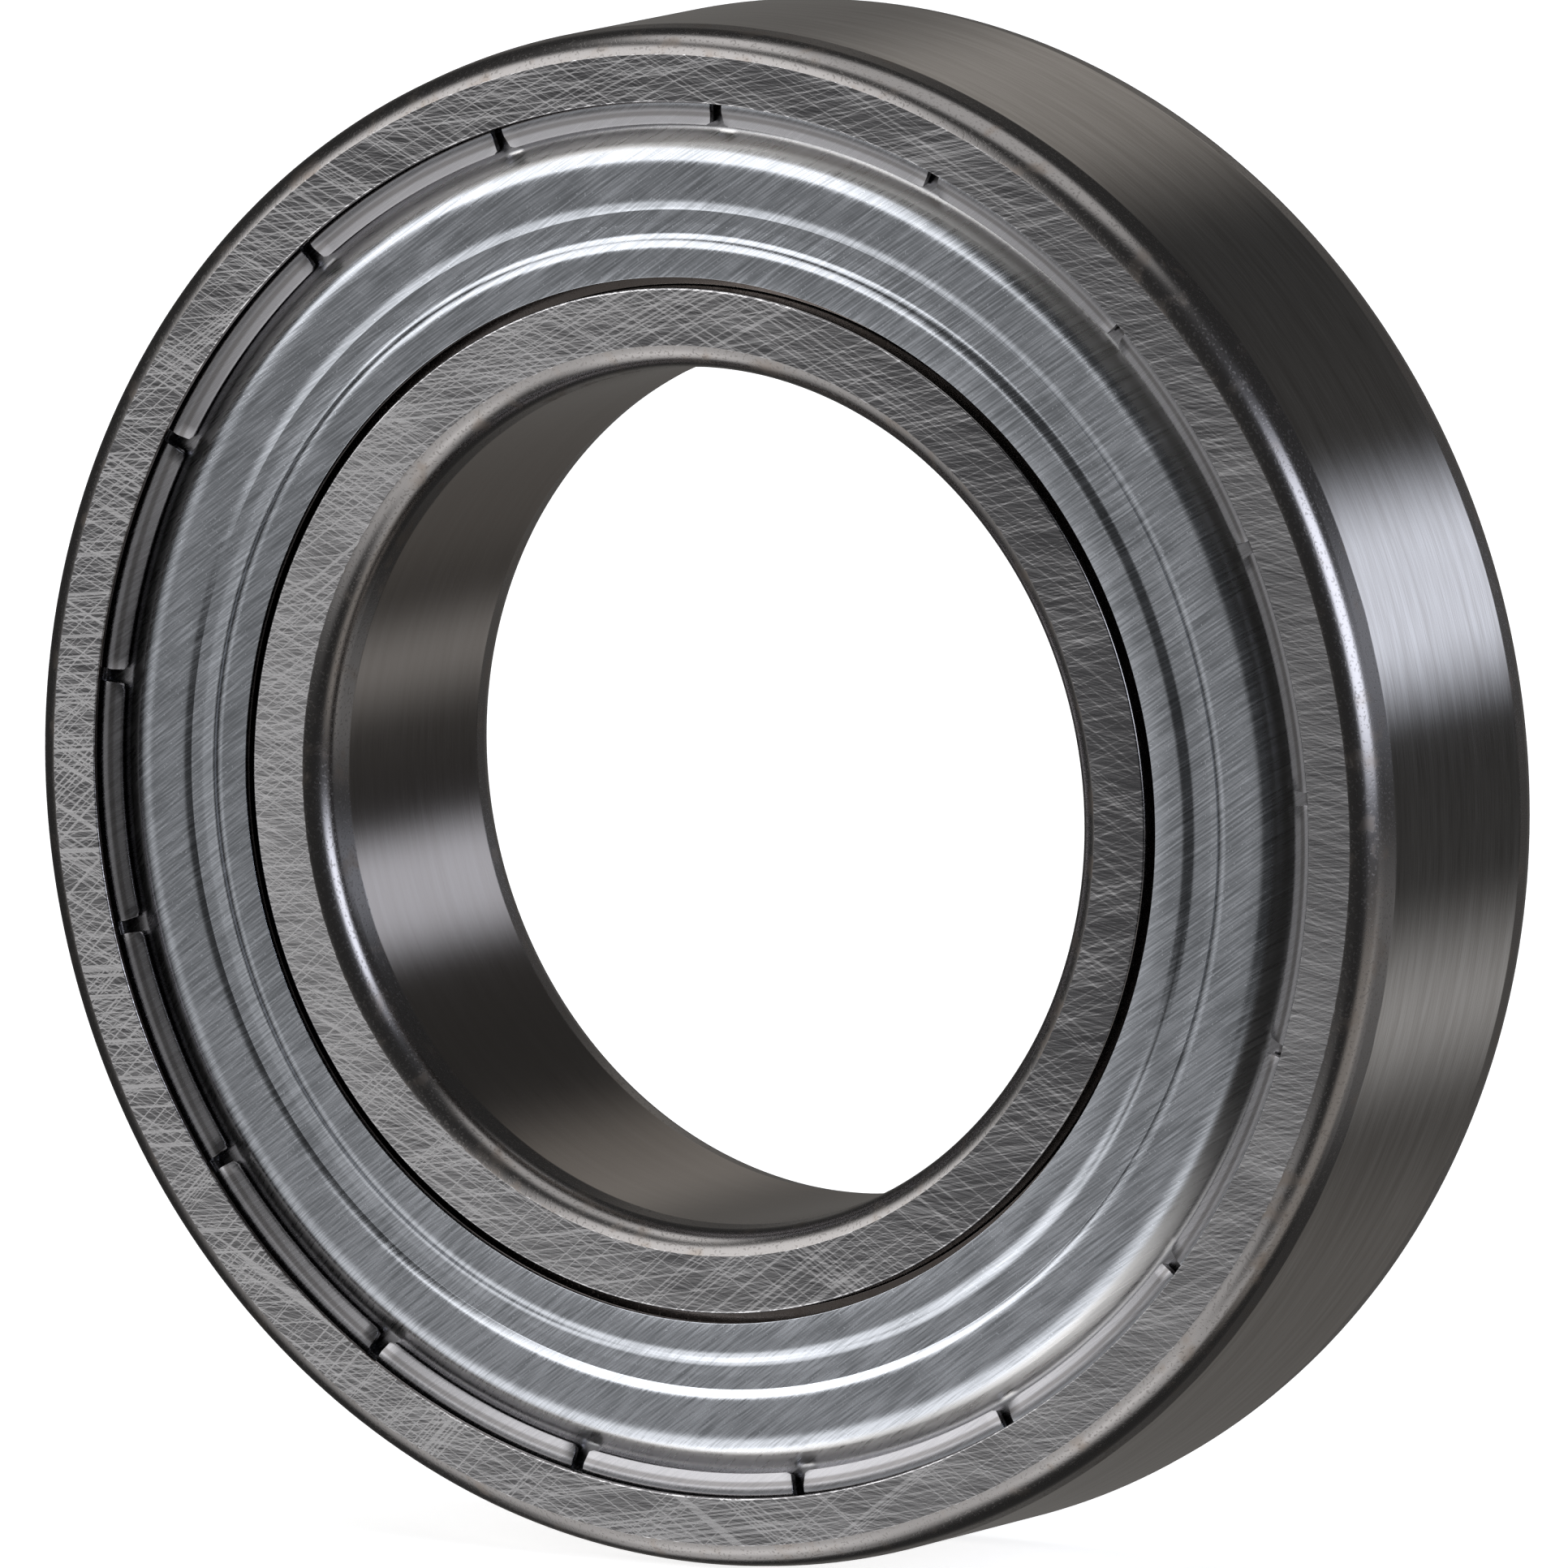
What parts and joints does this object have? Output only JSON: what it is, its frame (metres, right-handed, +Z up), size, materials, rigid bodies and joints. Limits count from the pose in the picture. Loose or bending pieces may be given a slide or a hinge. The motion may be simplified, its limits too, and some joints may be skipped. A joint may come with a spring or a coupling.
{
  "type": "ball bearing",
  "caption": "Single-row deep groove ball bearing with a pressed metal shield on each side, a riveted ribbon cage and a plain cylindrical bore.",
  "frame": {"origin": "centre of the bearing, on its axis and midway between the side faces", "axes": "+Y along the bearing's axis, from the front side face to the rear one; +Z up; the front side face looks towards -Y"},
  "size_m": [0.09, 0.02, 0.09],
  "materials": {
    "ring_steel": "ground bearing steel with fine crossing scratches on the side faces",
    "shield_steel": "zinc-coated pressed sheet, finely brushed",
    "cage_steel": "pressed mild steel strip, oily satin",
    "rivet_steel": "headed soft steel wire, satin",
    "ball_steel": "lapped bearing steel, mirror bright"
  },
  "bodies": {
    "outer_ring": {"outer_ring": "ring_steel", "front_shield": "shield_steel", "rear_shield": "shield_steel"},
    "inner_ring": {"inner_ring": "ring_steel"},
    "cage": {"cage_half_front": "cage_steel", "cage_half_rear": "cage_steel", "cage_rivet_01": "rivet_steel", "cage_rivet_02": "rivet_steel", "cage_rivet_03": "rivet_steel", "cage_rivet_04": "rivet_steel", "cage_rivet_05": "rivet_steel", "cage_rivet_06": "rivet_steel", "cage_rivet_07": "rivet_steel", "cage_rivet_08": "rivet_steel", "cage_rivet_09": "rivet_steel", "cage_rivet_10": "rivet_steel"},
    "ball_01": {"ball_01": "ball_steel"},
    "ball_02": {"ball_02": "ball_steel"},
    "ball_03": {"ball_03": "ball_steel"},
    "ball_04": {"ball_04": "ball_steel"},
    "ball_05": {"ball_05": "ball_steel"},
    "ball_06": {"ball_06": "ball_steel"},
    "ball_07": {"ball_07": "ball_steel"},
    "ball_08": {"ball_08": "ball_steel"},
    "ball_09": {"ball_09": "ball_steel"},
    "ball_10": {"ball_10": "ball_steel"}
  },
  "joints": [
    {"name": "inner_ring_spin", "type": "hinge", "parent": "outer_ring", "child": "inner_ring", "pos_m": [0, 0, 0], "axis": [0, 1, 0], "continuous": true},
    {"name": "cage_orbit", "type": "hinge", "parent": "outer_ring", "child": "cage", "pos_m": [0, 0, 0], "axis": [0, 1, 0], "continuous": true},
    {"name": "ball_01_spin", "type": "hinge", "parent": "cage", "child": "ball_01", "pos_m": [0.035, 0, 0], "axis": [0, 1, 0], "continuous": true},
    {"name": "ball_02_spin", "type": "hinge", "parent": "cage", "child": "ball_02", "pos_m": [0.02832, 0, 0.02057], "axis": [0, 1, 0], "continuous": true},
    {"name": "ball_03_spin", "type": "hinge", "parent": "cage", "child": "ball_03", "pos_m": [0.01082, 0, 0.03329], "axis": [0, 1, 0], "continuous": true},
    {"name": "ball_04_spin", "type": "hinge", "parent": "cage", "child": "ball_04", "pos_m": [-0.01082, 0, 0.03329], "axis": [0, 1, 0], "continuous": true},
    {"name": "ball_05_spin", "type": "hinge", "parent": "cage", "child": "ball_05", "pos_m": [-0.02832, 0, 0.02057], "axis": [0, 1, 0], "continuous": true},
    {"name": "ball_06_spin", "type": "hinge", "parent": "cage", "child": "ball_06", "pos_m": [-0.035, 0, 0], "axis": [0, 1, 0], "continuous": true},
    {"name": "ball_07_spin", "type": "hinge", "parent": "cage", "child": "ball_07", "pos_m": [-0.02832, 0, -0.02057], "axis": [0, 1, 0], "continuous": true},
    {"name": "ball_08_spin", "type": "hinge", "parent": "cage", "child": "ball_08", "pos_m": [-0.01082, 0, -0.03329], "axis": [0, 1, 0], "continuous": true},
    {"name": "ball_09_spin", "type": "hinge", "parent": "cage", "child": "ball_09", "pos_m": [0.01082, 0, -0.03329], "axis": [0, 1, 0], "continuous": true},
    {"name": "ball_10_spin", "type": "hinge", "parent": "cage", "child": "ball_10", "pos_m": [0.02832, 0, -0.02057], "axis": [0, 1, 0], "continuous": true}
  ],
  "couplings": [
    {"joint": "cage_orbit", "follows": "inner_ring_spin", "ratio": 0.40929},
    {"joint": "ball_01_spin", "follows": "inner_ring_spin", "ratio": -2.6652},
    {"joint": "ball_02_spin", "follows": "inner_ring_spin", "ratio": -2.6652},
    {"joint": "ball_03_spin", "follows": "inner_ring_spin", "ratio": -2.6652},
    {"joint": "ball_04_spin", "follows": "inner_ring_spin", "ratio": -2.6652},
    {"joint": "ball_05_spin", "follows": "inner_ring_spin", "ratio": -2.6652},
    {"joint": "ball_06_spin", "follows": "inner_ring_spin", "ratio": -2.6652},
    {"joint": "ball_07_spin", "follows": "inner_ring_spin", "ratio": -2.6652},
    {"joint": "ball_08_spin", "follows": "inner_ring_spin", "ratio": -2.6652},
    {"joint": "ball_09_spin", "follows": "inner_ring_spin", "ratio": -2.6652},
    {"joint": "ball_10_spin", "follows": "inner_ring_spin", "ratio": -2.6652}
  ]
}
